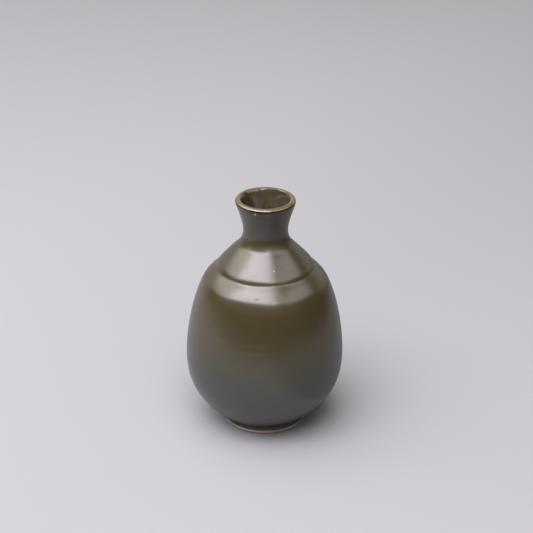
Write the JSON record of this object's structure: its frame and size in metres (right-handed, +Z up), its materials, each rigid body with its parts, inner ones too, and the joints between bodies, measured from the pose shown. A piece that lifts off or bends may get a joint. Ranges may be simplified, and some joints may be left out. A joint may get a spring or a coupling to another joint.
{
  "type": "sake bottle",
  "caption": "Squat ceramic sake bottle with a stepped shoulder, short flared neck and low foot ring, for warming and pouring sake.",
  "frame": {"origin": "centre of the foot's underside, on the surface the bottle stands on", "axes": "+Z up along the axis of revolution, through the neck; the bottle is round, so +X and +Y are free"},
  "size_m": [0.0812, 0.0812, 0.125],
  "materials": {
    "clay": "bare fired stoneware, warm tan, fine grain",
    "lustre_glaze": "satin metallic olive-brown lustre glaze, faintly iridescent",
    "rim_glaze": "thin glaze broken to a bronze-gold band",
    "liner_glaze": "glossy olive-brown liner glaze",
    "base_glaze": "satin olive-brown glaze"
  },
  "bodies": {
    "root": {"lower_body": "clay", "upper_body": "clay", "foot_ring": "clay", "outer_glaze": "lustre_glaze", "lip_glaze": "rim_glaze", "inner_glaze": "liner_glaze", "base_glaze": "base_glaze"}
  },
  "joints": []
}
